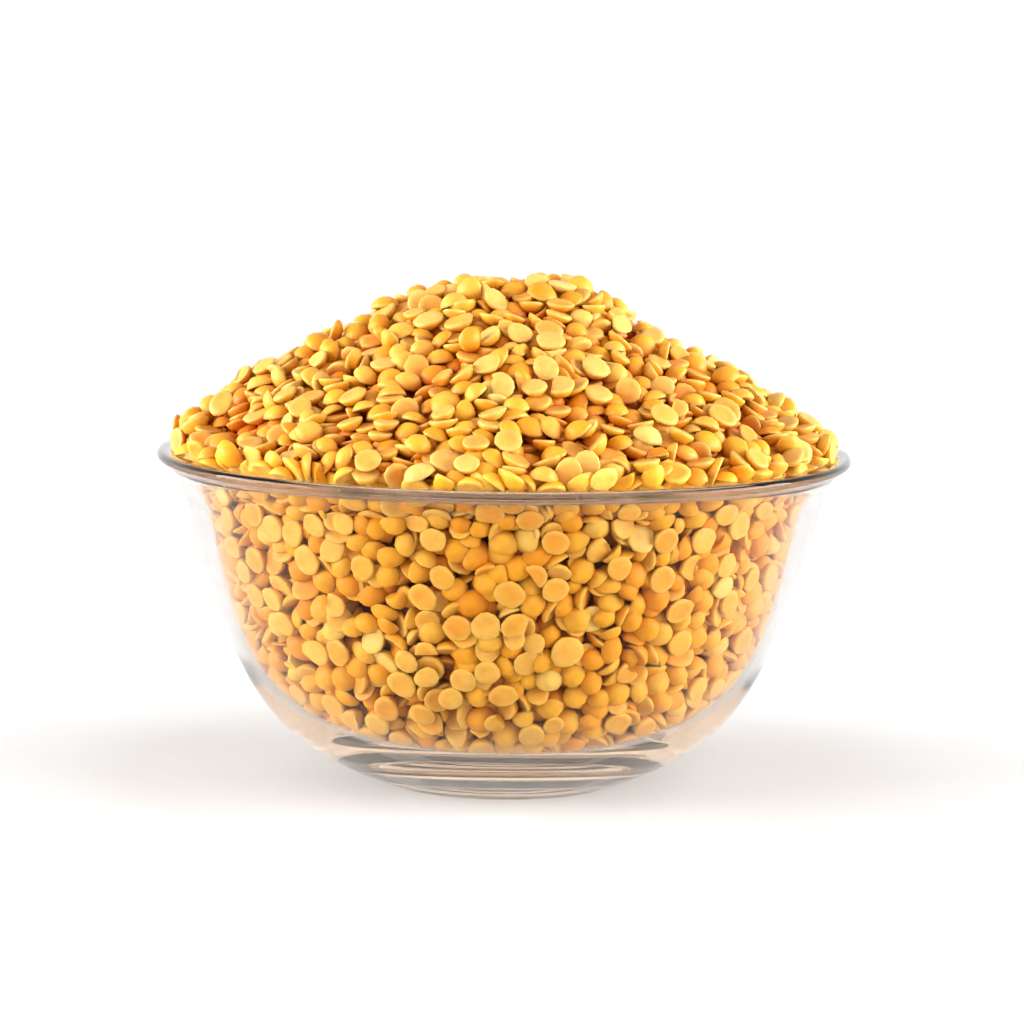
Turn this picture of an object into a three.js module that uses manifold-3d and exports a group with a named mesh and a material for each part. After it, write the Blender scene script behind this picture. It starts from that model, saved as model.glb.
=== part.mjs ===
// A clear pressed-glass bowl with a turned-out lip, heaped with dry split pulses.
// Two solids: the bowl, turned round Z, and the heap, a core with the pulses that show fused on.
// Millimetres and degrees, +Z up, origin at the middle of the foot.
import * as THREE from "three";
import { mergeVertices } from "three/addons/utils/BufferGeometryUtils.js";
import Module from "manifold-3d";

// ---- Driving dimensions: the bowl ----
const BOWL_HEIGHT = 63.3; // foot to the top of the lip
const LIP_RADIUS = 66; // outermost reach of the lip
const LIP_BEAD = 0.95; // radius of the lip's rounded edge
const FOOT_RADIUS = 24; // outer edge of the flat foot ring
const FOOT_WIDTH = 5.5;
const FOOT_RECESS = 0.8; // how far the underside inside the ring is raised
const RECESS_FILLET = 2; // width of the slope from the recess down to the ring
const BASE_SWEEP = 22; // angle above level at which the wall leaves the foot
const BASE_REACH = 20; // how far that direction is held, as a Bezier handle
const WALL_LEAN = 13; // angle off plumb at the top of the wall
const WALL_REACH = 45; // how far that direction is held outside
const INNER_REACH = 32; // and inside
const WALL_TOP_RADIUS = 61.6; // outside of the wall where the lip begins
const WALL_TOP = 57.5;
const WALL_THICKNESS = 4; // level, at the top of the wall
const FLOOR_THICKNESS = 6.6;
const FLOOR_RADIUS = 16; // flat middle of the floor inside
const FLOOR_REACH = 31; // how far the floor's level is held towards the wall
const LIP_UNDERSIDE = [0.6, 0.6]; // handles of the slope under the lip: up the wall, in from the bead
const LIP_FLARE = [4.6, 4.6]; // handles of the flare above it
const BOWL_SIDES = 48;

// ---- Driving dimensions: the heap ----
const HEAP_TOP = 96; // mean surface at the peak
const HEAP_SLOPE = 29.5; // angle of repose
const PEAK_ROUNDING = 12;
// Low swellings of the heap: place, height and spread.
const BULGES = [
  { x: -49, y: -4, height: 3.8, spread: 14 },
  { x: -22, y: 3, height: 3.6, spread: 13 },
  { x: 17, y: -2, height: 2.6, spread: 12 },
  { x: 46, y: -6, height: 1.8, spread: 18 },
  { x: 30, y: 34, height: 1.6, spread: 14 },
  { x: 8, y: -34, height: 1.2, spread: 12 },
];
const CORE_SINK = 0.6; // core surface below the heap's mean surface
const CORE_REACH = 61; // how far out over the lip the core goes
const CORE_GAP = 0.9; // core to glass
const CORE_SIDES = 24;
const CORE_RINGS = 6;
const GLASS_GAP = 0.45; // least distance from any pulse to the glass

// ---- Driving dimensions: one split pulse ----
const PULSE_RADIUS = 2.6;
const PULSE_THICKNESS = 2.15;
const PULSE_SIDES = 6;
const SIZE_SPREAD = 0.1; // share by which radius and thickness vary
const SHOULDER = [0.78, 0.68]; // the dome's shoulder, as shares of radius and thickness
const TOP_PULSES = 188;
const TOP_PULSE_REACH = 60.8; // outermost pulse centre, on the lip
const TOP_SINK = 0.3; // middle of a pulse below the heap's mean surface
const TOP_TILT = 34; // largest lean away from the slope
const SPIRAL_JITTER = 0.1; // radians, at the peak
const WALL_ROWS = 5;
const WALL_SPACING = 32; // between pulses along a row against the glass
const WALL_MARGIN = 0.9; // rows left free below the lowest row and above the highest, in rows
const ROW_JITTER = 0.15; // share of the spacing
const WALL_TILT = 16;
const GOLDEN_ANGLE = Math.PI * (3 - Math.sqrt(5));

const deg = THREE.MathUtils.degToRad;
const v2 = (x, y) => new THREE.Vector2(x, y);

// A seeded draw from 0 to 1 (mulberry32), so that every run gives the same heap.
function seeded(seed) {
  return () => {
    seed = (seed + 0x6d2b79f5) | 0;
    let t = Math.imul(seed ^ (seed >>> 15), 1 | seed);
    t = (t + Math.imul(t ^ (t >>> 7), 61 | t)) ^ t;
    return ((t ^ (t >>> 14)) >>> 0) / 4294967296;
  };
}
const draw = seeded(11);
const between = (low, high) => low + (high - low) * draw();

// ---- Outlines, as (radius, height) ----

const lean = v2(Math.sin(deg(WALL_LEAN)), Math.cos(deg(WALL_LEAN))); // up along the wall's top
const outerTop = v2(WALL_TOP_RADIUS, WALL_TOP);
const innerTop = v2(WALL_TOP_RADIUS - WALL_THICKNESS, WALL_TOP);
const beadCentre = v2(LIP_RADIUS - LIP_BEAD, BOWL_HEIGHT - LIP_BEAD);

// Outside of the bowl, from the foot ring to the start of the lip.
function outerWall() {
  const foot = v2(FOOT_RADIUS, 0);
  const sweep = v2(Math.cos(deg(BASE_SWEEP)), Math.sin(deg(BASE_SWEEP)));
  return new THREE.CubicBezierCurve(
    foot,
    foot.clone().addScaledVector(sweep, BASE_REACH),
    outerTop.clone().addScaledVector(lean, -WALL_REACH),
    outerTop,
  );
}

// Inside of the bowl, from the flat of the floor to the start of the lip.
function innerWall() {
  const floor = v2(FLOOR_RADIUS, FLOOR_THICKNESS);
  return new THREE.CubicBezierCurve(
    floor,
    floor.clone().add(v2(FLOOR_REACH, 0)),
    innerTop.clone().addScaledVector(lean, -INNER_REACH),
    innerTop,
  );
}

// Slope under the lip, from the wall out to the bead.
function lipUnderside() {
  const bead = v2(beadCentre.x, beadCentre.y - LIP_BEAD);
  return new THREE.CubicBezierCurve(
    outerTop,
    outerTop.clone().addScaledVector(lean, LIP_UNDERSIDE[0]),
    bead.clone().add(v2(-LIP_UNDERSIDE[1], 0)),
    bead,
  );
}

// Swept surface on which the outermost pulses lie, from the inner wall out to the bead.
function lipTop() {
  const bead = v2(beadCentre.x, BOWL_HEIGHT);
  return new THREE.CubicBezierCurve(
    innerTop,
    innerTop.clone().addScaledVector(lean, LIP_FLARE[0]),
    bead.clone().add(v2(-LIP_FLARE[1], 0)),
    bead,
  );
}

// The rounded edge itself, from below to above.
function lipBead() {
  return new THREE.EllipseCurve(
    beadCentre.x,
    beadCentre.y,
    LIP_BEAD,
    LIP_BEAD,
    -Math.PI / 2,
    Math.PI / 2,
  );
}

// Everything that the pulses can touch: floor, wall and lip.
const inside = [
  v2(0, FLOOR_THICKNESS),
  ...innerWall().getPoints(7),
  ...lipTop().getPoints(4).slice(1),
];

function bowlOutline() {
  const outside = [
    ...outerWall().getPoints(10),
    ...lipUnderside().getPoints(2).slice(1),
    ...lipBead().getPoints(4).slice(1),
  ];
  const ring = FOOT_RADIUS - FOOT_WIDTH;
  const underside = [v2(0, FOOT_RECESS), v2(ring - RECESS_FILLET, FOOT_RECESS), v2(ring, 0)];
  return [...underside, ...outside, ...inside.slice(0, -1).reverse()];
}

// Turns an outline round Z. LatheGeometry turns round Y, so the result is stood up.
function turned(outline, sides) {
  return new THREE.LatheGeometry(outline, sides).rotateX(Math.PI / 2);
}

// ---- The heap's form ----

// Mean height of the heap over (x, y): a cone with a rounded peak and low bulges.
function heapHeight(x, y) {
  const r = Math.hypot(x, y);
  const fall = Math.hypot(r, PEAK_ROUNDING) - PEAK_ROUNDING;
  const cone = HEAP_TOP - Math.tan(deg(HEAP_SLOPE)) * fall;
  return BULGES.reduce((height, bulge) => {
    const away = Math.hypot(x - bulge.x, y - bulge.y) / bulge.spread;
    return height + bulge.height * Math.exp(-away * away);
  }, cone);
}

// Upward unit normal of the heap's surface.
function heapNormal(x, y) {
  const step = 0.5;
  const alongX = heapHeight(x + step, y) - heapHeight(x - step, y);
  const alongY = heapHeight(x, y + step) - heapHeight(x, y - step);
  return new THREE.Vector3(-alongX, -alongY, 2 * step).normalize();
}

// Distance from (radius, height) to the inside of the bowl, negative in the glass, and the way off it.
function fromGlass(radius, height) {
  let best = { distance: Infinity, away: v2(-1, 0) };
  for (let i = 1; i < inside.length; i++) {
    const start = inside[i - 1];
    const along = inside[i].clone().sub(start);
    const length = along.length();
    along.divideScalar(length);
    const offset = v2(radius, height).sub(start);
    const share = THREE.MathUtils.clamp(offset.dot(along), 0, length);
    const apart = offset.clone().addScaledVector(along, -share);
    const away = v2(-along.y, along.x);
    const distance = apart.length() * Math.sign(apart.dot(away) || 1);
    if (Math.abs(distance) < Math.abs(best.distance)) best = { distance, away };
  }
  return best;
}

// ---- Solids ----

// A closed three.js geometry as a manifold-3d solid.
function solidOf(wasm, geometry) {
  const bare = geometry.clone();
  bare.deleteAttribute("normal");
  bare.deleteAttribute("uv");
  const merged = mergeVertices(bare, 1e-4);
  return new wasm.Manifold(
    new wasm.Mesh({
      numProp: 3,
      vertProperties: merged.attributes.position.array,
      triVerts: new Uint32Array(merged.index.array),
    }),
  );
}

// A manifold-3d solid as a three.js geometry.
function geometryOf(solid) {
  const mesh = solid.getMesh();
  const geometry = new THREE.BufferGeometry();
  const positions = new Float32Array(mesh.vertProperties);
  geometry.setAttribute("position", new THREE.BufferAttribute(positions, 3));
  geometry.setIndex(new THREE.BufferAttribute(new Uint32Array(mesh.triVerts), 1));
  geometry.computeVertexNormals();
  return geometry;
}

// The heap without its pulses: the heap's surface above, the bowl's inside below.
function heapCore() {
  const reached = inside.filter((p) => p.x < CORE_REACH);
  const wall = reached.map((p) => {
    const { away } = fromGlass(p.x, p.y);
    return v2(Math.max(p.x + away.x * CORE_GAP, 0), p.y + away.y * CORE_GAP);
  });
  const edge = wall.at(-1).x;
  const top = [];
  for (let i = CORE_RINGS; i >= 0; i--) {
    top.push(v2((edge * i) / CORE_RINGS, HEAP_TOP));
  }
  const geometry = turned([...wall, ...top], CORE_SIDES);
  const place = geometry.attributes.position;
  for (let i = 0; i < place.count; i++) {
    if (place.getZ(i) < HEAP_TOP - 1e-3) continue;
    const x = place.getX(i);
    const y = place.getY(i);
    place.setZ(i, heapHeight(x, y) - CORE_SINK);
  }
  return geometry;
}

// One split pulse: a flat face down and a dome up, lying on the origin.
function pulseGeometry() {
  const radius = PULSE_RADIUS * (1 + SIZE_SPREAD * between(-1, 1));
  const thickness = PULSE_THICKNESS * (1 + SIZE_SPREAD * between(-1, 1));
  const outline = [
    v2(0, 0),
    v2(radius, 0),
    v2(radius * SHOULDER[0], thickness * SHOULDER[1]),
    v2(0, thickness),
  ];
  const geometry = turned(outline, PULSE_SIDES);
  geometry.translate(0, 0, -thickness / 2);
  geometry.rotateZ(between(0, Math.PI * 2));
  return geometry;
}

// Lays a pulse at a point, with its axis within tilt degrees of a normal and either face up.
function laidPulse(point, normal, tilt) {
  const geometry = pulseGeometry();
  if (draw() < 0.5) geometry.rotateX(Math.PI);
  const lean = new THREE.Vector3(between(-1, 1), between(-1, 1), between(-1, 1));
  lean.cross(normal).normalize();
  const axis = normal.clone().applyAxisAngle(lean, deg(between(0, tilt)));
  const turn = new THREE.Quaternion().setFromUnitVectors(new THREE.Vector3(0, 0, 1), axis);
  geometry.applyQuaternion(turn);
  geometry.translate(point.x, point.y, point.z);
  return geometry;
}

// Corners of a geometry and the middles of its edges.
function cornersAndMiddles(geometry) {
  const { index, attributes } = geometry;
  const corner = (i) => new THREE.Vector3().fromBufferAttribute(attributes.position, index.getX(i));
  const points = [];
  for (let i = 0; i < index.count; i++) {
    const next = i % 3 === 2 ? i - 2 : i + 1;
    points.push(corner(i), corner(i).lerp(corner(next), 0.5));
  }
  return points;
}

// Moves a pulse off the glass until all of it is clear.
function clearedOfGlass(geometry) {
  for (let round = 0; round < 6; round++) {
    let worst = { distance: GLASS_GAP };
    for (const point of cornersAndMiddles(geometry)) {
      const found = fromGlass(Math.hypot(point.x, point.y), point.z);
      if (found.distance < worst.distance) worst = { ...found, point };
    }
    const short = GLASS_GAP - worst.distance;
    if (short < 1e-3) break;
    const push = new THREE.Vector3(worst.point.x, worst.point.y, 0);
    push.setLength(worst.away.x * short).setZ(worst.away.y * short);
    geometry.translate(push.x, push.y, push.z);
  }
  return geometry;
}

// Pulses over the heap, spread evenly by the golden angle.
function topPulses() {
  const laid = [];
  for (let i = 0; i < TOP_PULSES; i++) {
    const radius = TOP_PULSE_REACH * Math.sqrt((i + 0.5) / TOP_PULSES);
    const jitter = (SPIRAL_JITTER * between(-1, 1)) / (1 + radius / PEAK_ROUNDING);
    const angle = i * GOLDEN_ANGLE + jitter;
    const x = radius * Math.cos(angle);
    const y = radius * Math.sin(angle);
    const normal = heapNormal(x, y);
    const point = new THREE.Vector3(x, y, heapHeight(x, y) - TOP_SINK);
    laid.push(clearedOfGlass(laidPulse(point, normal, TOP_TILT)));
  }
  return laid;
}

// Pulses that lie against the glass, in staggered rows up the wall.
function wallPulses() {
  const laid = [];
  const curve = innerWall();
  for (let row = 0; row < WALL_ROWS; row++) {
    const share = (row + WALL_MARGIN) / (WALL_ROWS - 1 + 2 * WALL_MARGIN);
    const on = curve.getPointAt(share);
    const along = curve.getTangentAt(share);
    const count = Math.round((2 * Math.PI * on.x) / WALL_SPACING);
    for (let i = 0; i < count; i++) {
      const step = i + (row % 2) / 2 + ROW_JITTER * between(-1, 1);
      const angle = (step * 2 * Math.PI) / count;
      const out = new THREE.Vector3(Math.cos(angle), Math.sin(angle), 0);
      const normal = out.clone().multiplyScalar(-along.y).setZ(along.x);
      const point = out.clone().multiplyScalar(on.x).setZ(on.y);
      point.addScaledVector(normal, GLASS_GAP + PULSE_THICKNESS / 2);
      laid.push(clearedOfGlass(laidPulse(point, normal, WALL_TILT)));
    }
  }
  return laid;
}

// The core with every pulse joined on. A scrap that touches nothing is dropped.
function heapGeometry(wasm) {
  const parts = [heapCore(), ...topPulses(), ...wallPulses()];
  const joined = wasm.Manifold.union(parts.map((part) => solidOf(wasm, part)));
  const bodies = joined.decompose();
  bodies.sort((a, b) => b.volume() - a.volume());
  return geometryOf(bodies[0]);
}

// ---- Materials and the object ----

const glass = new THREE.MeshStandardMaterial({
  color: new THREE.Color(0.93, 0.96, 0.95),
  roughness: 0.03,
  metalness: 0,
  transparent: true,
  opacity: 0.35,
});
const pulse = new THREE.MeshStandardMaterial({
  color: new THREE.Color(0.93, 0.6, 0.16),
  roughness: 0.55,
  metalness: 0,
});

function named(name, geometry, material) {
  const mesh = new THREE.Mesh(geometry, material);
  mesh.name = name;
  return mesh;
}

const wasm = await Module();
wasm.setup();

const dish = new THREE.Group();
dish.add(named("bowl", turned(bowlOutline(), BOWL_SIDES), glass));
dish.add(named("lentil_heap", heapGeometry(wasm), pulse));

export default dish;
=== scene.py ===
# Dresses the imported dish: a clear pressed-glass bowl, heaped with dry split pulses.
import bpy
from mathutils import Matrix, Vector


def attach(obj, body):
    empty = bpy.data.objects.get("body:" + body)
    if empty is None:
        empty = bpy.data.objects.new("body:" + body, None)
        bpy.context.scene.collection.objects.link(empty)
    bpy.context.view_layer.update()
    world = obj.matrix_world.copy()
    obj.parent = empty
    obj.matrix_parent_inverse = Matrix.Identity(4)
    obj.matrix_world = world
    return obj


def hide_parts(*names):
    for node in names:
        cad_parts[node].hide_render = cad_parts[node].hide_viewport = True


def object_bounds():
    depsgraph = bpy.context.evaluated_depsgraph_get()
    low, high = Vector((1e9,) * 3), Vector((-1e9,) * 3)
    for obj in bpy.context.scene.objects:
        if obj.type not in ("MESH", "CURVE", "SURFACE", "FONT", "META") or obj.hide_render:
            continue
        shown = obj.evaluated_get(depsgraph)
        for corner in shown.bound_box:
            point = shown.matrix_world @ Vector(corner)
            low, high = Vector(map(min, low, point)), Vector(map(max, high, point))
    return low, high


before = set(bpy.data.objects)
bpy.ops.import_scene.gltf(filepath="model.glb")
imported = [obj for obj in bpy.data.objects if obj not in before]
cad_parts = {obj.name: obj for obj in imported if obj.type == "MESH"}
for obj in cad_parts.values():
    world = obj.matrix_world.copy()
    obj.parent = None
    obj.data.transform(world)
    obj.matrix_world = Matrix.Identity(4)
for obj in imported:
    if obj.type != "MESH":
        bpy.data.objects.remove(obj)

from types import SimpleNamespace

import bpy
import numpy as np
from mathutils import Matrix, Vector

cad_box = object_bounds()
MM = 0.001  # sizes below are in millimetres; meshes, lights and the camera are in metres

# ---- The bowl ----
BOWL_HEIGHT = 63.3
LIP_RADIUS = 66.0
LIP_BEAD = 0.95  # radius of the lip's rounded edge
FOOT_RADIUS = 24.0
FOOT_WIDTH = 5.5
FOOT_RECESS = 0.8
RECESS_FILLET = 2.0
BASE_SWEEP = np.radians(22)  # above level, where the wall leaves the foot
BASE_REACH = 20.0
WALL_LEAN = np.radians(13)  # off plumb, at the top of the wall
WALL_REACH = 45.0
INNER_REACH = 32.0
WALL_TOP_RADIUS = 61.6
WALL_TOP = 57.5
WALL_THICKNESS = 4.0
FLOOR_THICKNESS = 6.6
FLOOR_RADIUS = 16.0
FLOOR_REACH = 31.0
LIP_UNDERSIDE = (0.6, 0.6)
LIP_FLARE = (4.6, 4.6)
BOWL_SIDES = 192
# Steps along the wall and along the lip.
OUTSIDE_STEPS = (44, 10)
INSIDE_STEPS = (44, 12)
COARSE_STEPS = (18, 8)  # of the inside, where only the distance from it is wanted
BEAD_STEPS = 10
RECESS_STEPS = 6
PAST_LIP = 12.0  # how far the coarse inside runs on beyond the lip

# ---- The heap ----
HEAP_TOP = 96.8  # at the peak; the pulses settle to a little below it
HEAP_SLOPE = np.radians(29.5)
PEAK_ROUNDING = 12.0
# Low swellings of the heap: x, y, height and spread.
BULGES = (
    (-49, -4, 3.8, 14),
    (-22, 3, 3.6, 13),
    (17, -2, 2.6, 12),
    (46, -6, 1.8, 18),
    (30, 34, 1.6, 14),
    (8, -34, 1.2, 12),
)
SHELL = 6.6  # depth of loose pulses over the core
CORE_SIDES = 96
CORE_RINGS = 24
CORE_STEPS = (30, 8)  # along the wall and along the lip

# ---- The pulses ----
PULSE_RADIUS = 2.6
PULSE_HALF = 0.385  # half its thickness, as a share of its radius
PULSE_BODY = 0.62  # its volume, as a share of the cylinder round it
SIZE_SPREAD = 0.08
SMALLEST, LARGEST = 0.82, 1.18
PLUMP_SPREAD = 0.07  # of the thickness, past that of the size
THINNEST, PLUMPEST = 0.85, 1.15
FILL = 0.61  # share of the shell that pulses take up
PULSE_REACH = 63.8  # no pulse goes further out over the lip
CEILING = cad_box[1].z / MM - 0.2  # or higher than this
LEVELLING = 0.6  # how far pulses on the heap turn from the slope's lie to level
LEAN_SPREAD = np.radians(36)  # of pulses on the heap, from that lie
PACKED_SPREAD = np.radians(52)  # of pulses in the bowl, from the lie of the glass
GLASS_GAP = 0.03  # from the nearest point of a pulse to the glass

# ---- How the pulses start and settle ----
TRIES = 120000  # points in a box round the shell, of which the starting places are some
BOX_REACH = 64.0  # from the axis, along X and Y
BOX_HEADROOM = 2.0
SHELL_REACH = 65.0  # out from the axis, for the volume that the pulses fill
START_REACH = 63.2  # out from the axis, for the starting places
START_GAP = 0.9  # between those and the glass or the heap's surface
RIM_BALLS = 8
RIM_BALL = 0.7  # radius of a rim ball, as a share of half the thickness
RIM_REACH = 0.97
SETTLE_STEPS = 120
START_SIZE = 0.6  # share of a pulse's size that it swells from
SWELLING = 0.5  # share of the steps that it swells for
LIST_EVERY = 5  # steps from one list of the balls that may touch to the next
CLOSE_PULSES, CLOSE_MARGIN = 2.1, 0.5  # how far apart they may be, in radii and millimetres
CLOSE_BALLS = 0.35  # and the balls themselves, past touching
CLOSE_GLASS = 2.6  # and a ball's middle and the glass
CLOSE_CORE = 3.0  # and the core
PUSH, PUSH_FADE = 1.2, 0.75  # how far pushes go, and how they weaken with many contacts
INERTIA = 0.35  # against turning, over the radius squared
PULL = 0.04  # towards the glass or the heap's surface, in the first step
MOST_TURN = 0.3  # radians in a step

rng = np.random.default_rng(7)


# ---- Outlines, as (radius, height) ----
def bezier(start, leave, arrive, end, steps):
    t = np.linspace(0, 1, steps + 1)[:, None]
    points = [np.asarray(p, float) for p in (start, leave, arrive, end)]
    weights = [(1 - t) ** 3, 3 * t * (1 - t) ** 2, 3 * t**2 * (1 - t), t**3]
    return sum(w * p for w, p in zip(weights, points))


LEAN = np.array([np.sin(WALL_LEAN), np.cos(WALL_LEAN)])
SWEEP = np.array([np.cos(BASE_SWEEP), np.sin(BASE_SWEEP)])
OUTER_TOP = np.array([WALL_TOP_RADIUS, WALL_TOP])
INNER_TOP = np.array([WALL_TOP_RADIUS - WALL_THICKNESS, WALL_TOP])
BEAD = np.array([LIP_RADIUS - LIP_BEAD, BOWL_HEIGHT - LIP_BEAD])


def inside_line(wall_steps, lip_steps):
    """Floor, inner wall and the top of the lip, from the axis out to the bead."""
    floor = np.array([FLOOR_RADIUS, FLOOR_THICKNESS])
    bead_top = BEAD + [0, LIP_BEAD]
    wall = bezier(
        floor,
        floor + [FLOOR_REACH, 0],
        INNER_TOP - LEAN * INNER_REACH,
        INNER_TOP,
        wall_steps,
    )
    flare = bezier(
        INNER_TOP,
        INNER_TOP + LEAN * LIP_FLARE[0],
        bead_top - [LIP_FLARE[1], 0],
        bead_top,
        lip_steps,
    )
    return np.vstack([[0, FLOOR_THICKNESS], wall, flare[1:]])


def outside_line(wall_steps, lip_steps):
    """Underside, foot ring, outer wall and the slope under the lip, from the axis out."""
    foot = np.array([FOOT_RADIUS, 0.0])
    ring = FOOT_RADIUS - FOOT_WIDTH
    bead_foot = BEAD - [0, LIP_BEAD]
    recess = bezier(
        [ring - RECESS_FILLET, FOOT_RECESS],
        [ring - RECESS_FILLET / 2, FOOT_RECESS],
        [ring - RECESS_FILLET / 2, 0],
        [ring, 0],
        RECESS_STEPS,
    )
    wall = bezier(
        foot,
        foot + SWEEP * BASE_REACH,
        OUTER_TOP - LEAN * WALL_REACH,
        OUTER_TOP,
        wall_steps,
    )
    slope = bezier(
        OUTER_TOP,
        OUTER_TOP + LEAN * LIP_UNDERSIDE[0],
        bead_foot - [LIP_UNDERSIDE[1], 0],
        bead_foot,
        lip_steps,
    )
    return np.vstack([[0, FOOT_RECESS], recess, wall, slope[1:]])


def bead_line(steps):
    turn = np.linspace(-np.pi / 2, np.pi / 2, steps + 1)[1:-1]
    return BEAD + LIP_BEAD * np.stack([np.cos(turn), np.sin(turn)], 1)


# ---- Meshes ----
def make_object(name, verts, faces, smooth=True):
    """An object from vertices in millimetres and faces."""
    mesh = bpy.data.meshes.new(name)
    mesh.from_pydata((np.asarray(verts) * MM).tolist(), [], faces)
    mesh.update()
    mesh.polygons.foreach_set("use_smooth", [smooth] * len(mesh.polygons))
    made = bpy.data.objects.new(name, mesh)
    bpy.context.collection.objects.link(made)
    return made


def turned(outline, sides):
    """Vertices and faces of an outline that starts and ends on the axis, turned round Z."""
    angle = np.arange(sides) * 2 * np.pi / sides
    rings = outline[1:-1]
    xyz = np.empty((len(rings), sides, 3))
    xyz[..., 0] = rings[:, :1] * np.cos(angle)
    xyz[..., 1] = rings[:, :1] * np.sin(angle)
    xyz[..., 2] = rings[:, 1:]
    poles = [[0, 0, outline[0][1]], [0, 0, outline[-1][1]]]
    verts = np.vstack([xyz.reshape(-1, 3), poles])
    bottom, top = len(verts) - 2, len(verts) - 1
    last = (len(rings) - 1) * sides
    faces = []
    for i in range(sides):
        j = (i + 1) % sides
        faces.append((bottom, j, i))
        faces.append((top, last + i, last + j))
        for k in range(len(rings) - 1):
            row = k * sides
            faces.append((row + i, row + j, row + sides + j, row + sides + i))
    return verts, faces


# ---- The heap's form ----
def heap_height(x, y):
    """Mean height of the heap over (x, y): a cone with a rounded peak and low bulges."""
    fall = np.hypot(np.hypot(x, y), PEAK_ROUNDING) - PEAK_ROUNDING
    height = HEAP_TOP - np.tan(HEAP_SLOPE) * fall
    for at_x, at_y, rise, spread in BULGES:
        height = height + rise * np.exp(-((x - at_x) ** 2 + (y - at_y) ** 2) / spread**2)
    return height


def heap_slope(x, y):
    """How steeply the heap's surface rises along X and along Y."""
    step = 0.5
    along_x = (heap_height(x + step, y) - heap_height(x - step, y)) / (2 * step)
    along_y = (heap_height(x, y + step) - heap_height(x, y - step)) / (2 * step)
    return along_x, along_y


def sunk_height(x, y, depth):
    """Height of a surface that lies below the heap's by a depth measured square to it."""
    along_x, along_y = heap_slope(x, y)
    return heap_height(x, y) - depth * np.sqrt(1 + along_x**2 + along_y**2)


def below_heap(points):
    """How deep points lie under the heap's surface, and the surface's unit normal there."""
    x, y, z = points.T
    along_x, along_y = heap_slope(x, y)
    normal = np.stack([-along_x, -along_y, np.ones_like(x)], 1)
    length = np.linalg.norm(normal, axis=1)
    return (heap_height(x, y) - z) / length, normal / length[:, None]


INSIDE = np.vstack([inside_line(*COARSE_STEPS), [LIP_RADIUS + PAST_LIP, BOWL_HEIGHT]])


def off_glass(points):
    """Distance of points from the glass, negative in it, and the unit way off it."""
    radius = np.hypot(points[:, 0], points[:, 1])
    start = INSIDE[:-1]
    along = INSIDE[1:] - start
    length = np.linalg.norm(along, axis=1)
    along = along / length[:, None]
    offset = np.stack([radius, points[:, 2]], 1)[:, None] - start
    share = np.clip((offset * along).sum(2), 0, length)
    apart = offset - share[..., None] * along
    nearest = (apart**2).sum(2).argmin(1)
    apart = apart[np.arange(len(points)), nearest]
    inward = np.stack([-along[nearest, 1], along[nearest, 0]], 1)
    side = np.where((apart * inward).sum(1) < 0, -1.0, 1.0)
    distance = np.linalg.norm(apart, axis=1)
    way = np.where(
        distance[:, None] > 1e-6,
        apart * side[:, None] / np.maximum(distance, 1e-6)[:, None],
        inward,
    )
    out = points[:, :2] / np.maximum(radius, 1e-6)[:, None]
    return distance * side, np.hstack([out * way[:, :1], way[:, 1:]])


# ---- Packing the pulses ----
def spread_points(count, low, high):
    """Points spread evenly through a box, by steps that never repeat."""
    ratio = 1.2207440846057596  # the root of x**4 = x + 1
    steps = ratio ** -np.arange(1.0, 4.0)
    return low + (high - low) * ((0.5 + np.arange(count)[:, None] * steps) % 1.0)


def unit(vectors):
    return vectors / np.maximum(np.linalg.norm(vectors, axis=-1, keepdims=True), 1e-9)


def scattered_pulses():
    """Pulses at their starting places in the shell, each leaning at random from the surface."""
    low = np.array([-BOX_REACH, -BOX_REACH, FLOOR_THICKNESS])
    high = np.array([BOX_REACH, BOX_REACH, HEAP_TOP + BOX_HEADROOM])
    points = spread_points(TRIES, low, high)
    clear, off = off_glass(points)
    depth, up = below_heap(points)
    radius = np.hypot(points[:, 0], points[:, 1])
    shell = (clear > 0) & (depth > 0) & (np.minimum(clear, depth) < SHELL)
    volume = (shell & (radius < SHELL_REACH)).mean() * np.prod(high - low)
    body = PULSE_BODY * np.pi * PULSE_RADIUS**2 * 2 * PULSE_HALF * PULSE_RADIUS
    count = int(FILL * volume / body)
    inside = (clear > START_GAP) & (depth > START_GAP) & (radius < START_REACH)
    room = np.nonzero(shell & inside)[0]
    chosen = room[np.linspace(0, len(room) - 1, count).astype(int)]
    on_top = depth[chosen] < clear[chosen]
    lying = unit(up[chosen] * (1 - LEVELLING) + np.array([0, 0, LEVELLING]))
    normal = np.where(on_top[:, None], lying, off[chosen])
    spread = np.where(on_top, LEAN_SPREAD, PACKED_SPREAD)
    lean = (rng.normal(size=count) * spread)[:, None]
    side = unit(np.cross(normal, rng.normal(size=(count, 3))))
    axis = normal * np.cos(lean) + side * np.sin(lean)
    axis *= rng.choice([-1.0, 1.0], count)[:, None]
    across = unit(np.cross(rng.normal(size=(count, 3)), axis))
    size = PULSE_RADIUS * np.clip(rng.normal(1, SIZE_SPREAD, count), SMALLEST, LARGEST)
    plump = np.clip(rng.normal(1, PLUMP_SPREAD, count), THINNEST, PLUMPEST)
    return SimpleNamespace(
        place=points[chosen],
        turn=np.stack([across, np.cross(axis, across), axis], 2),
        radius=size,
        half=size * PULSE_HALF * plump,
        on_top=on_top,
    )


def turn_by(spin):
    """Rotation matrices for rotation vectors."""
    angle = np.linalg.norm(spin, axis=1)[:, None, None]
    x, y, z = unit(spin).T
    none = np.zeros_like(x)
    cross = np.stack([none, -z, y, z, none, -x, -y, x, none], 1).reshape(-1, 3, 3)
    return np.eye(3) + np.sin(angle) * cross + (1 - np.cos(angle)) * (cross @ cross)


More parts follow.
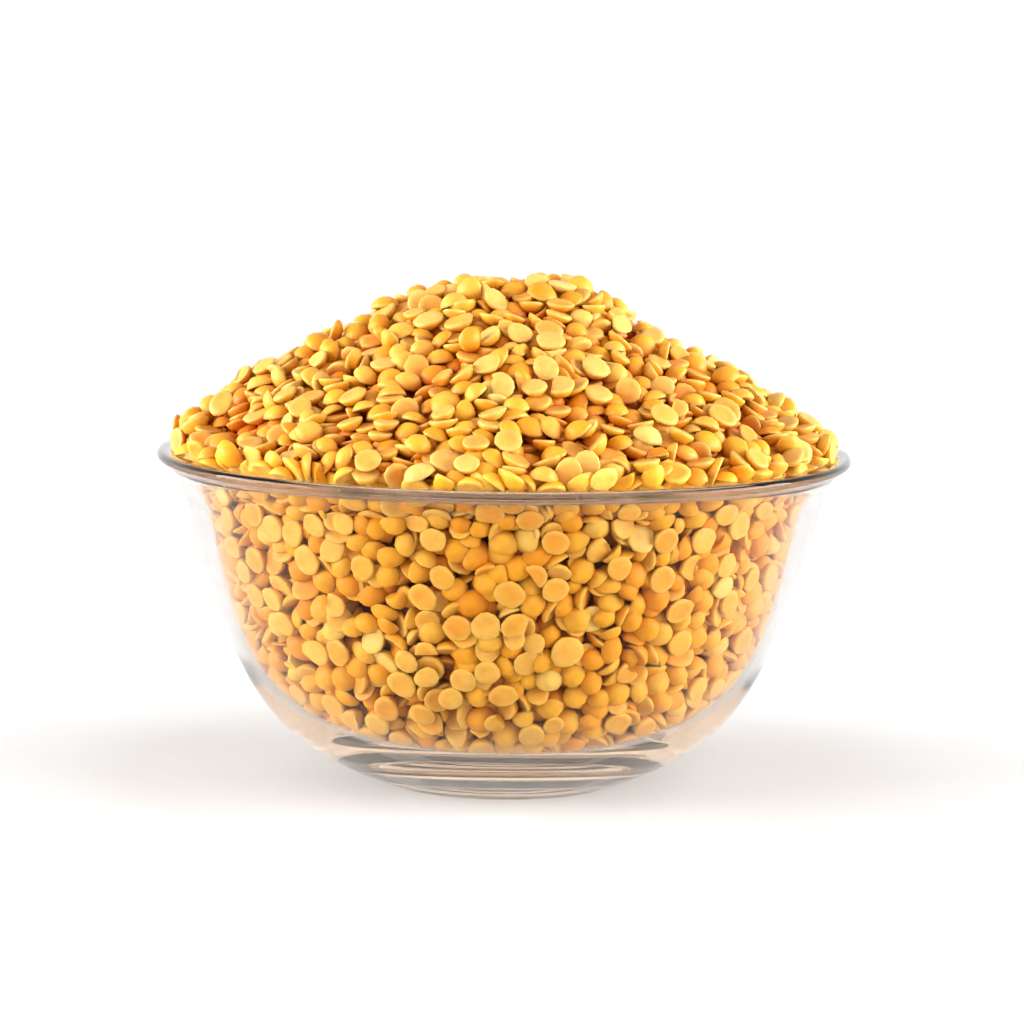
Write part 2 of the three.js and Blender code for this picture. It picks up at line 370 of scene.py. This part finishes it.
def contact_balls(pulses):
    """Balls that stand in for each pulse: one in its middle and a ring of them near its rim."""
    count = len(pulses.place)
    rim = RIM_BALL * pulses.half
    reach = (RIM_REACH * pulses.radius - rim)[:, None]
    angle = np.arange(RIM_BALLS) * 2 * np.pi / RIM_BALLS
    arms = np.zeros((count, RIM_BALLS + 1, 3))
    arms[:, 1:, 0] = reach * np.cos(angle)
    arms[:, 1:, 1] = reach * np.sin(angle)
    arms[:, 1:, 2] = (rim - pulses.half)[:, None]
    sizes = np.hstack([pulses.half[:, None], np.repeat(rim[:, None], RIM_BALLS, 1)])
    return arms, sizes


def close_balls(place, balls, sizes, reach):
    """Index pairs of balls of different pulses that are close enough to touch soon."""
    place = place.astype(np.float32)
    square = (place**2).sum(1)
    apart = square[:, None] + square - 2 * place @ place.T
    one, two = np.nonzero(np.triu(apart < reach**2, 1))
    balls, sizes = balls.astype(np.float32), sizes.astype(np.float32)
    gap = ((balls[one][:, :, None] - balls[two][:, None]) ** 2).sum(-1)
    near = (sizes[one][:, :, None] + sizes[two][:, None] + CLOSE_BALLS) ** 2
    pair, ball_one, ball_two = np.nonzero(gap < near)
    each = balls.shape[1]
    return one[pair] * each + ball_one, two[pair] * each + ball_two


class Pushes:
    """Adds up, for every pulse, the moves and turns that its contacts ask for."""

    def __init__(self, owner, arms, inertia):
        self.owner, self.arms, self.inertia = owner, arms, inertia
        self.who, self.moves, self.spins = [], [], []

    def ease(self, ball, way):
        """How easily a push on these balls moves them, and the turn that it gives."""
        twist = np.cross(self.arms[ball], way)
        inertia = self.inertia[self.owner[ball]]
        return 1 + (twist**2).sum(1) / inertia, twist / inertia[:, None]

    def add(self, ball, way, share, twist):
        self.who.append(self.owner[ball])
        self.moves.append(way * share[:, None])
        self.spins.append(twist * share[:, None])

    def wall(self, ball, way, overlap):
        """Pushes balls off something that stays where it is."""
        hit = overlap > 0
        ball, way, overlap = ball[hit], way[hit], overlap[hit]
        ease, twist = self.ease(ball, way)
        self.add(ball, way, overlap / ease, twist)

    def pair(self, one, two, way, overlap):
        ease_one, twist_one = self.ease(one, way)
        ease_two, twist_two = self.ease(two, way)
        share = overlap / (ease_one + ease_two)
        self.add(one, way, share, twist_one)
        self.add(two, way, -share, twist_two)

    def total(self, count):
        who = np.concatenate(self.who)
        contacts = np.maximum(np.bincount(who, minlength=count), 1)
        ease = (PUSH / contacts**PUSH_FADE)[:, None]
        sums = [
            np.stack([np.bincount(who, column, count) for column in np.concatenate(part).T], 1)
            for part in (self.moves, self.spins)
        ]
        return sums[0] * ease, sums[1] * ease


def settle(pulses, steps):
    """Swells the pulses to full size while contacts push them apart, between glass and core."""
    arms, sizes = contact_balls(pulses)
    count, each = sizes.shape
    owner = np.repeat(np.arange(count), each)
    inertia = INERTIA * pulses.radius**2
    for step in range(steps):
        grown = min(1.0, START_SIZE + (1 - START_SIZE) * step / (SWELLING * steps))
        arm = np.einsum("nij,nkj->nki", pulses.turn, arms) * grown
        balls = (pulses.place[:, None] + arm).reshape(-1, 3)
        size = sizes.ravel() * grown
        if step % LIST_EVERY == 0:
            reach = CLOSE_PULSES * PULSE_RADIUS * grown + CLOSE_MARGIN
            one, two = close_balls(
                pulses.place, balls.reshape(count, each, 3), sizes * grown, reach
            )
            clear, _ = off_glass(balls)
            depth, _ = below_heap(balls)
            by_glass = np.nonzero(clear < CLOSE_GLASS)[0]
            by_core = np.nonzero(np.minimum(clear, depth) > SHELL - CLOSE_CORE)[0]
            away = np.where(
                pulses.on_top[:, None], below_heap(pulses.place)[1], off_glass(pulses.place)[1]
            )
        pushes = Pushes(owner, arm.reshape(-1, 3), inertia)
        apart = balls[one] - balls[two]
        length = np.linalg.norm(apart, axis=1)
        overlap = size[one] + size[two] - length
        hit = overlap > 0
        way = apart[hit] / np.maximum(length[hit], 1e-6)[:, None]
        pushes.pair(one[hit], two[hit], way, overlap[hit])
        clear, off = off_glass(balls[by_glass])
        pushes.wall(by_glass, off, size[by_glass] + GLASS_GAP - clear)
        clear, off = off_glass(balls[by_core])
        depth, up = below_heap(balls[by_core])
        way = np.where((clear < depth)[:, None], -off, up)
        pushes.wall(by_core, way, np.minimum(clear, depth) - SHELL + size[by_core])
        radius = np.hypot(balls[:, 0], balls[:, 1])
        far = np.nonzero(radius + size > PULSE_REACH)[0]
        inward = -unit(balls[far] * [1, 1, 0])
        pushes.wall(far, inward, radius[far] + size[far] - PULSE_REACH)
        high = np.nonzero(balls[:, 2] + size > CEILING)[0]
        down = np.tile([0.0, 0.0, -1.0], (len(high), 1))
        pushes.wall(high, down, balls[high, 2] + size[high] - CEILING)
        move, spin = pushes.total(count)
        pull = PULL * (1 - step / steps)
        pulses.place = pulses.place + move - away * pull
        turn = np.maximum(np.linalg.norm(spin, axis=1), 1e-9)
        spin *= np.minimum(1, MOST_TURN / turn)[:, None]
        pulses.turn = turn_by(spin) @ pulses.turn
    return pulses


# ---- Meshes of pulses ----
PULSE_SIDES = 12
# Rings of a pulse from its flat face to its dome, as shares of the radius and of the thickness
# above the flat face. The dome is nearly a cap of a sphere, and meets the flat face at an edge.
RINGS = (
    (0.55, 0.02),
    (0.91, 0.0),
    (1.0, 0.10),
    (0.95, 0.31),
    (0.83, 0.54),
    (0.62, 0.78),
    (0.34, 0.94),
)
FLAT_RINGS = 2
EDGE_RINGS = slice(1, 3)
# How far shapes stray, as shares of the radius.
EGG_SPREAD = 0.05
TIP_SPREAD = 0.06
NICK_SPREAD = 0.06
EDGE_SPREAD = 0.03
SKEW_SPREAD = 0.07  # of the dome's top over its foot
WARP_SPREAD = 0.012  # per millimetre, of the flat face
BUMP_WIDTH = 0.45  # radians, of the tip at one end and of the nick at the other
SLIMMEST = 0.80  # breadth over length
LEAST_HOLLOW, MOST_HOLLOW = -0.03, 0.08  # of the flat face's middle, as shares of the thickness
RING_HOLLOW = 0.7  # share of it at the first ring
BROKEN_SHARE = 0.10
DEEPEST_BREAK, SHALLOWEST_BREAK = 0.0, 0.6  # from the middle, as shares of the radius
RAGGED_BREAK = 0.05  # how uneven the break is, in millimetres
CLEARINGS = 3  # times that a pulse is shifted off the glass
# Painted shade: pulses turn darker and redder with depth, as light reaches less far down.
BURIED_FROM, BURIED_TO = 1.2, 4.8  # depths between which pulses turn darker and redder


def pulse_outlines(count):
    """Outlines of pulses seen from above: oval, some with a drawn-out tip or a nick."""
    angle = np.arange(PULSE_SIDES) * 2 * np.pi / PULSE_SIDES
    from_tip = np.minimum(angle, 2 * np.pi - angle)
    egg = rng.normal(0, EGG_SPREAD, count)[:, None]
    tip = np.abs(rng.normal(0, TIP_SPREAD, count))[:, None]
    nick = np.abs(rng.normal(0, NICK_SPREAD, count))[:, None]
    outline = 1 + egg * np.cos(angle) + tip * np.exp(-((from_tip / BUMP_WIDTH) ** 2))
    outline -= nick * np.exp(-(((angle - np.pi) / BUMP_WIDTH) ** 2))
    outline += EDGE_SPREAD * rng.normal(size=(count, PULSE_SIDES))
    outline /= outline.mean(1)[:, None]
    slim = rng.uniform(SLIMMEST, 1.0, count)[:, None]
    return outline * np.cos(angle), outline * np.sin(angle) * slim


def kept_clear(body):
    """Shifts each pulse so that no vertex is in the glass, past the lip or above the ceiling."""
    count, each = body.shape[:2]
    rows = np.arange(count)
    for _ in range(CLEARINGS):
        clear, off = off_glass(body.reshape(-1, 3))
        clear, off = clear.reshape(count, each), off.reshape(count, each, 3)
        worst = clear.argmin(1)
        short = np.maximum(GLASS_GAP - clear[rows, worst], 0)
        body = body + (off[rows, worst] * short[:, None])[:, None]
    body[..., 2] -= np.maximum(body[..., 2].max(1) - CEILING, 0)[:, None]
    radius = np.hypot(body[..., 0], body[..., 1])
    farthest = radius.argmax(1)
    out = body[rows, farthest, :2] / radius[rows, farthest, None]
    past = np.maximum(radius[rows, farthest] - PULSE_REACH, 0)
    body[..., :2] -= (out * past[:, None])[:, None]
    return body


def pulse_vertices(pulses, pick):
    """Vertices of the picked pulses, each with a shape of its own, in place."""
    count = len(pick)
    flat_x, flat_y = pulse_outlines(count)
    share, rise = np.array(RINGS).T
    radius = pulses.radius[pick][:, None, None]
    thick = 2 * pulses.half[pick][:, None]
    body = np.zeros((count, len(RINGS) * PULSE_SIDES + 2, 3))
    rings = np.empty((count, len(RINGS), PULSE_SIDES, 3))
    skew = rng.normal(0, SKEW_SPREAD, (2, count))[:, :, None, None] * (rise**2)[:, None]
    rings[..., 0] = (flat_x[:, None] * share[:, None] + skew[0]) * radius
    rings[..., 1] = (flat_y[:, None] * share[:, None] + skew[1]) * radius
    rings[..., 2] = (rise * thick - thick / 2)[:, :, None]
    hollow = rng.uniform(LEAST_HOLLOW, MOST_HOLLOW, count)
    rings[:, 0, :, 2] += (RING_HOLLOW * hollow * thick[:, 0])[:, None]
    body[:, 2:] = rings.reshape(count, -1, 3)
    body[:, 0, 2] = (hollow - 0.5) * thick[:, 0]
    body[:, 1, :2] = skew[:, :, 0, -1].T * radius[:, 0]
    body[:, 1, 2] = 0.5 * thick[:, 0]
    warp = rng.normal(0, WARP_SPREAD, (2, count))[:, :, None]
    body[..., 2] += (warp * body[..., :2].transpose(2, 0, 1) ** 2).sum(0)
    broken = rng.random(count) < BROKEN_SHARE
    cut = rng.uniform(DEEPEST_BREAK, SHALLOWEST_BREAK, count)[:, None] * radius[:, :, 0]
    ragged = cut + rng.normal(0, RAGGED_BREAK, body.shape[:2])
    body[..., 0] = np.where(broken[:, None], np.minimum(body[..., 0], ragged), body[..., 0])
    turned_body = np.einsum("nij,nkj->nki", pulses.turn[pick], body)
    return kept_clear(turned_body + pulses.place[pick][:, None])


def pulse_faces():
    """Faces of one pulse: pole 0 on the flat face, pole 1 on the dome, then the rings."""
    faces = []
    last = 2 + (len(RINGS) - 1) * PULSE_SIDES
    for i in range(PULSE_SIDES):
        j = (i + 1) % PULSE_SIDES
        faces.append((0, 2 + j, 2 + i))
        faces.append((1, last + i, last + j))
        for k in range(len(RINGS) - 1):
            row = 2 + k * PULSE_SIDES
            faces.append((row + i, row + j, row + PULSE_SIDES + j, row + PULSE_SIDES + i))
    return faces


def add_attribute(obj, name, values):
    made = obj.data.attributes.new(name, "FLOAT", "POINT")
    made.data.foreach_set("value", np.asarray(values, np.float32).ravel())


def buried_shade_share(points):
    """0 at the heap's surface and at the glass, and 1 deep down, where the pulses get painted
    shade.
    """
    depth = np.minimum(off_glass(points)[0], below_heap(points)[0])
    return np.clip((depth - BURIED_FROM) / (BURIED_TO - BURIED_FROM), 0, 1)


def pulse_piece(name, pulses, pick, material):
    """One piece of many pulses of a kind, joined into one mesh."""
    body = pulse_vertices(pulses, pick)
    each = body.shape[1]
    one = pulse_faces()
    faces = [tuple(v + i * each for v in face) for i in range(len(pick)) for face in one]
    made = make_object(name, body.reshape(-1, 3), faces)
    flat, edge = np.zeros(each), np.zeros(each)
    flat[0] = 1
    flat[2 : 2 + FLAT_RINGS * PULSE_SIDES] = 1
    edge[2:].reshape(len(RINGS), PULSE_SIDES)[EDGE_RINGS] = 1
    add_attribute(made, "flat_face", np.tile(flat, len(pick)))
    add_attribute(made, "edge", np.tile(edge, len(pick)))
    add_attribute(made, "buried_shade", buried_shade_share(body.reshape(-1, 3)))
    add_attribute(made, "tone", np.repeat(rng.random(len(pick)), each))
    add_attribute(made, "packed", np.repeat(~pulses.on_top[pick], each))
    made.data.materials.append(material)
    return made


# ---- Materials ----
def new_material(name):
    made = bpy.data.materials.new(name)
    made.use_nodes = True
    made.node_tree.nodes.clear()
    return made, made.node_tree


def add_node(tree, kind, values=None, **settings):
    """A node with its settings, and values or links for its inputs."""
    made = tree.nodes.new(kind)
    for key, value in settings.items():
        setattr(made, key, value)
    for key, value in (values or {}).items():
        if isinstance(value, bpy.types.NodeSocket):
            tree.links.new(value, made.inputs[key])
        else:
            made.inputs[key].default_value = value
    return made


def colour_ramp(tree, factor, stops):
    ramp = add_node(tree, "ShaderNodeValToRGB", {"Fac": factor})
    elements = ramp.color_ramp.elements
    while len(elements) < len(stops):
        elements.new(0.5)
    for element, (at, colour) in zip(elements, stops):
        element.position = at
        element.color = (*colour, 1)
    return ramp.outputs["Color"]


def mixed(tree, factor, one, two, blend="MIX"):
    """A mix of two colours, which are a Mix node's inputs 6 and 7."""
    mix = add_node(
        tree, "ShaderNodeMix", {0: factor, 6: one, 7: two}, data_type="RGBA", blend_type=blend
    )
    return mix.outputs[2]


def attribute(tree, name):
    return add_node(tree, "ShaderNodeAttribute", attribute_name=name).outputs["Fac"]


def noise(tree, vector, scale, **settings):
    values = {"Vector": vector, "Scale": scale, "Detail": 2.0, **settings}
    return add_node(tree, "ShaderNodeTexNoise", values).outputs["Fac"]


def glass_material():
    """Clear glass with the faint level ripples of pressing, which lets shadow rays through."""
    made, tree = new_material("pressed_glass")
    coords = add_node(tree, "ShaderNodeTexCoord")
    streaks = add_node(
        tree,
        "ShaderNodeMapping",
        {"Vector": coords.outputs["Object"], "Scale": (25, 25, 240)},
    )
    ripples = noise(tree, streaks.outputs["Vector"], 1.0, Detail=0.0)
    bump = add_node(
        tree, "ShaderNodeBump", {"Height": ripples, "Strength": 0.16, "Distance": 0.0006}
    )
    glass = add_node(
        tree,
        "ShaderNodeBsdfPrincipled",
        {
            "Base Color": (0.79, 0.775, 0.765, 1),
            "Roughness": 0.01,
            "IOR": 1.5,
            "Specular Tint": (0.06, 0.06, 0.06, 1),
            "Transmission Weight": 1.0,
            "Normal": bump.outputs["Normal"],
        },
    )
    clear = add_node(tree, "ShaderNodeBsdfTransparent", {"Color": (1.0, 1.0, 1.0, 1)})
    path = add_node(tree, "ShaderNodeLightPath")
    mix = add_node(
        tree,
        "ShaderNodeMixShader",
        {0: path.outputs["Is Shadow Ray"], 1: glass.outputs[0], 2: clear.outputs[0]},
    )
    body = add_node(
        tree, "ShaderNodeVolumeAbsorption", {"Color": (0.90, 0.75, 0.58, 1), "Density": 16.0}
    )
    add_node(
        tree,
        "ShaderNodeOutputMaterial",
        {"Surface": mix.outputs[0], "Volume": body.outputs[0]},
    )
    return made


# Pale edge of each pulse: partly real wear of the skin at the rim, partly a painted highlight,
# as of the rim catching light.
EDGE_COLOUR = (0.93, 0.62, 0.20)
EDGE_WEAR_AND_HIGHLIGHT = 0.55  # how far the edge takes that colour
MOTTLE = (0.86, 0.76, 0.6)
MOTTLE_SHARE = 0.8
# Colour of the painted shade deep in the heap and the bowl.
BURIED_SHADE_TINT = (0.83, 0.35, 0.08)
# Painted light: the same pulses dimmed and less yellow on the heap, warmer in the bowl, for how
# differently the light falls on each.
HEAPED_LIGHT_TINT = (0.81, 0.81, 0.66)
PACKED_LIGHT_TINT = (1.0, 0.97, 0.60)  # of pulses in the bowl, where the light is warmer


def pulse_material(name, dome_dark, dome_light, face):
    """A dry split pulse: a waxy dome, a paler, duller flat face and a pale edge between."""
    made, tree = new_material(name)
    place = add_node(tree, "ShaderNodeTexCoord").outputs["Object"]
    clouds = noise(tree, place, 420.0, Roughness=0.6)
    grain = noise(tree, place, 2400.0, Detail=1.0)
    dome = colour_ramp(tree, attribute(tree, "tone"), [(0.0, dome_dark), (1.0, dome_light)])
    skin = mixed(tree, attribute(tree, "flat_face"), dome, (*face, 1))
    # Painted highlight along the rim, mixed with real wear.
    edge_wear_and_highlight = add_node(
        tree, "ShaderNodeMath", {0: attribute(tree, "edge"), 1: EDGE_WEAR_AND_HIGHLIGHT}, operation="MULTIPLY"
    )
    edged = mixed(tree, edge_wear_and_highlight.outputs[0], skin, (*EDGE_COLOUR, 1))
    mottle = colour_ramp(tree, clouds, [(0.3, MOTTLE), (0.6, (1, 1, 1))])
    mottled = mixed(tree, MOTTLE_SHARE, edged, mottle, "MULTIPLY")
    # Painted shade: darker and redder with depth under the heap's surface or off the glass.
    shade = colour_ramp(tree, attribute(tree, "buried_shade"), [(0.0, (1, 1, 1)), (1.0, BURIED_SHADE_TINT)])
    shaded = mixed(tree, 1.0, mottled, shade, "MULTIPLY")
    # Painted light: heaped and packed copies of one colour, lit differently.
    tint = colour_ramp(tree, attribute(tree, "packed"), [(0.0, HEAPED_LIGHT_TINT), (1.0, PACKED_LIGHT_TINT)])
    colour = mixed(tree, 1.0, shaded, tint, "MULTIPLY")
    bump = add_node(
        tree, "ShaderNodeBump", {"Height": grain, "Strength": 0.35, "Distance": 0.0001}
    )
    waxy = add_node(
        tree,
        "ShaderNodeBsdfPrincipled",
        {
            "Base Color": colour,
            "Roughness": 0.45,
            "Specular IOR Level": 0.28,
            "Normal": bump.outputs["Normal"],
        },
    )
    add_node(tree, "ShaderNodeOutputMaterial", {"Surface": waxy.outputs[0]})
    return made


def core_material():
    """The dull red-brown of pulses in deep shade, in cells about as large as they are."""
    made, tree = new_material("deep_pulses")
    coords = add_node(tree, "ShaderNodeTexCoord")
    cells = add_node(
        tree, "ShaderNodeTexVoronoi", {"Vector": coords.outputs["Object"], "Scale": 190.0}
    )
    colour = colour_ramp(
        tree, cells.outputs["Distance"], [(0.0, (0.58, 0.20, 0.03)), (0.8, (0.26, 0.06, 0.008))]
    )
    dull = add_node(tree, "ShaderNodeBsdfPrincipled", {"Base Color": colour, "Roughness": 0.8})
    add_node(tree, "ShaderNodeOutputMaterial", {"Surface": dull.outputs[0]})
    return made


# How brightly the floor glows, by metres from the dish's middle: painted light, in a ring just
# past the dish's shade, and on the far floor.
FLOOR_PAINTED_GLOW = ((0.07, 0.0), (0.115, 0.12), (0.17, 0.1), (0.3, 0.02), (0.5, 0.04), (1.0, 0.2))


def floor_material():
    """Pale paper that glows though it is no lamp: painted light, just past the dish's shade and
    far from it.
    """
    made, tree = new_material("pale_floor")
    place = add_node(tree, "ShaderNodeTexCoord").outputs["Object"]
    colour = colour_ramp(
        tree, noise(tree, place, 40.0), [(0.3, (0.64, 0.64, 0.64)), (0.7, (0.66, 0.66, 0.66))]
    )
    away = add_node(tree, "ShaderNodeVectorMath", {0: place}, operation="LENGTH")
    # Painted light: the floor's glow by distance from the dish's middle.
    glow = colour_ramp(
        tree, away.outputs["Value"], [(distance, (much,) * 3) for distance, much in FLOOR_PAINTED_GLOW]
    )
    matt = add_node(
        tree,
        "ShaderNodeBsdfPrincipled",
        {
            "Base Color": colour,
            "Roughness": 0.9,
            "Emission Color": (1, 1, 1, 1),
            "Emission Strength": glow,
        },
    )
    add_node(tree, "ShaderNodeOutputMaterial", {"Surface": matt.outputs[0]})
    return made


# ---- The pieces ----
def add_piece(obj, node):
    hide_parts(node)
    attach(obj, "root")


def build_bowl():
    outline = np.vstack(
        [
            outside_line(*OUTSIDE_STEPS),
            bead_line(BEAD_STEPS),
            inside_line(*INSIDE_STEPS)[::-1],
        ]
    )
    bowl = make_object("glass_bowl", *turned(outline, BOWL_SIDES))
    bowl.data.materials.append(glass_material())
    add_piece(bowl, "bowl")


def build_core():
    """The heap's inside, a shell's depth below its surface and off the glass."""
    around = np.linspace(0, 2 * np.pi, CORE_SIDES)
    wall = []
    for radius, height in inside_line(*CORE_STEPS):
        place = np.array([radius, 0, height])
        x, _, z = place + off_glass(place[None])[1][0] * SHELL
        if x > 0 and z < sunk_height(x * np.cos(around), x * np.sin(around), SHELL).min():
            wall.append((x, z))
    edge = wall[-1][0]
    top = [(edge * k / CORE_RINGS, HEAP_TOP) for k in range(CORE_RINGS, -1, -1)]
    verts, faces = turned(np.array([(0, wall[0][1]), *wall, *top]), CORE_SIDES)
    on_top = verts[:, 2] > HEAP_TOP - 1e-6
    verts[on_top, 2] = sunk_height(verts[on_top, 0], verts[on_top, 1], SHELL)
    core = make_object("heap_core", verts, faces)
    core.data.materials.append(core_material())
    add_piece(core, "lentil_heap")


# Kinds of pulse: share of them, darkest and lightest dome, and flat face.
KINDS = {
    "golden": (0.42, (0.91, 0.41, 0.02), (0.96, 0.48, 0.05), (0.93, 0.47, 0.09)),
    "amber": (0.22, (0.88, 0.34, 0.013), (0.94, 0.40, 0.028), (0.90, 0.40, 0.065)),
    "straw": (0.31, (0.93, 0.46, 0.045), (0.96, 0.52, 0.095), (0.95, 0.53, 0.14)),
    "pale": (0.05, (0.94, 0.58, 0.14), (0.97, 0.64, 0.21), (0.97, 0.66, 0.26)),
}
MOST_PULSES = 1180  # in one piece, which keeps it under 200,000 triangles


def build_pulses():
    pulses = settle(scattered_pulses(), SETTLE_STEPS)
    order = rng.permutation(len(pulses.place))
    shares = np.cumsum([kind[0] for kind in KINDS.values()])
    ends = np.round(shares / shares[-1] * len(order)).astype(int)
    begin = 0
    for (name, (_, dark, light, face)), end in zip(KINDS.items(), ends):
        material = pulse_material(f"pulse_{name}", dark, light, face)
        parts = -(-(end - begin) // MOST_PULSES)
        for part, pick in enumerate(np.array_split(order[begin:end], parts)):
            piece = pulse_piece(f"pulses_{name}_{part + 1}", pulses, pick, material)
            add_piece(piece, "lentil_heap")
        begin = end


# ---- Stage, lights and camera ----
STAGE_RINGS = ((150, 0), (450, 0))  # inner rings of the level floor
STAGE_LEVEL = 900  # how far out it is level
STAGE_RADIUS = 1500.0
STAGE_RISE = 700.0
STAGE_STEPS = 24
STAGE_SIDES = 96


def build_stage():
    """A round floor that rises to a wall far from the dish."""
    corner, top = (STAGE_RADIUS, 0), (STAGE_RADIUS, STAGE_RISE)
    curve = bezier((STAGE_LEVEL, 0), corner, corner, top, STAGE_STEPS)
    angle = np.arange(STAGE_SIDES) * 2 * np.pi / STAGE_SIDES
    rows = np.vstack([*STAGE_RINGS, curve])
    verts = [(0, 0, 0)]
    for radius, height in rows:
        verts += [(radius * np.cos(a), radius * np.sin(a), height) for a in angle]
    faces = [(0, 1 + i, 1 + (i + 1) % STAGE_SIDES) for i in range(STAGE_SIDES)]
    for k in range(len(rows) - 1):
        for i in range(STAGE_SIDES):
            j = (i + 1) % STAGE_SIDES
            row = 1 + k * STAGE_SIDES
            faces.append((row + i, row + STAGE_SIDES + i, row + STAGE_SIDES + j, row + j))
    floor = make_object("floor", verts, faces)
    floor.data.materials.append(floor_material())


# Name, place, width, height and power of each softbox, in metres and watts.
SOFTBOXES = (
    ("left", (-1.15, -0.2, 0.34), 1.1, 0.64, 31),
    ("right", (1.15, -0.2, 0.34), 1.1, 0.64, 31),
    ("top", (0.05, -0.5, 1.2), 0.8, 0.8, 1.8),
)
SOFTBOX_AIM = (0, 0, 0.06)


def add_softbox(name, place, width, height, power):
    light = bpy.data.lights.new(name, "AREA")
    light.shape = "RECTANGLE"
    light.size = width
    light.size_y = height
    light.energy = power
    made = bpy.data.objects.new(name, light)
    made.location = place
    way = Vector(SOFTBOX_AIM) - Vector(place)
    made.rotation_euler = way.to_track_quat("-Z", "Y").to_euler()
    made.visible_camera = False
    made.visible_transmission = False  # so that the thick glass shows no white patches
    bpy.context.collection.objects.link(made)


def build_world():
    """Pale light from all round, a little weaker from above."""
    world = bpy.data.worlds.new("studio")
    bpy.context.scene.world = world
    world.use_nodes = True
    tree = world.node_tree
    tree.nodes.clear()
    coords = add_node(tree, "ShaderNodeTexCoord")
    split = add_node(tree, "ShaderNodeSeparateXYZ", {"Vector": coords.outputs["Generated"]})
    sky = colour_ramp(
        tree, split.outputs["Z"], [(0.25, (1.0, 1.0, 1.0)), (0.75, (0.7, 0.71, 0.72))]
    )
    background = add_node(tree, "ShaderNodeBackground", {"Color": sky, "Strength": 0.74})
    add_node(tree, "ShaderNodeOutputWorld", {"Surface": background.outputs[0]})


CAMERA_DISTANCE = 600.0
CAMERA_LIFT = np.radians(7.91)
CAMERA_LENS = 109.85
CAMERA_ROLL = np.radians(0.785)
CAMERA_LOOKS_AT = (1.65, 0, 51.0)
CAMERA_ABOVE = 50.0  # the height that the distance and lift are taken from


def build_camera():
    camera = bpy.data.cameras.new("camera")
    camera.lens = CAMERA_LENS
    camera.sensor_width = 36
    camera.clip_start = 0.02
    made = bpy.data.objects.new("camera", camera)
    back = CAMERA_DISTANCE * np.array([0, -np.cos(CAMERA_LIFT), np.sin(CAMERA_LIFT)])
    place = Vector((back + [0, 0, CAMERA_ABOVE]) * MM)
    aim = Vector(CAMERA_LOOKS_AT) * MM
    look = (aim - place).to_track_quat("-Z", "Y").to_matrix()
    roll = Matrix.Rotation(CAMERA_ROLL, 3, "Z")
    made.matrix_world = Matrix.Translation(place) @ (look @ roll).to_4x4()
    bpy.context.collection.objects.link(made)
    bpy.context.scene.camera = made


build_camera()
build_bowl()
build_core()
build_pulses()
build_stage()
build_world()
for softbox in SOFTBOXES:
    add_softbox(*softbox)

GLASS_BOUNCES = 32  # fewer leave the lip and the base black, as light runs far inside them
scene = bpy.context.scene
scene.view_settings.view_transform = "Standard"
scene.cycles.use_light_tree = False
scene.cycles.max_bounces = GLASS_BOUNCES
scene.cycles.transmission_bounces = GLASS_BOUNCES
scene.cycles.transparent_max_bounces = 8
scene.cycles.diffuse_bounces = 2
scene.cycles.glossy_bounces = GLASS_BOUNCES
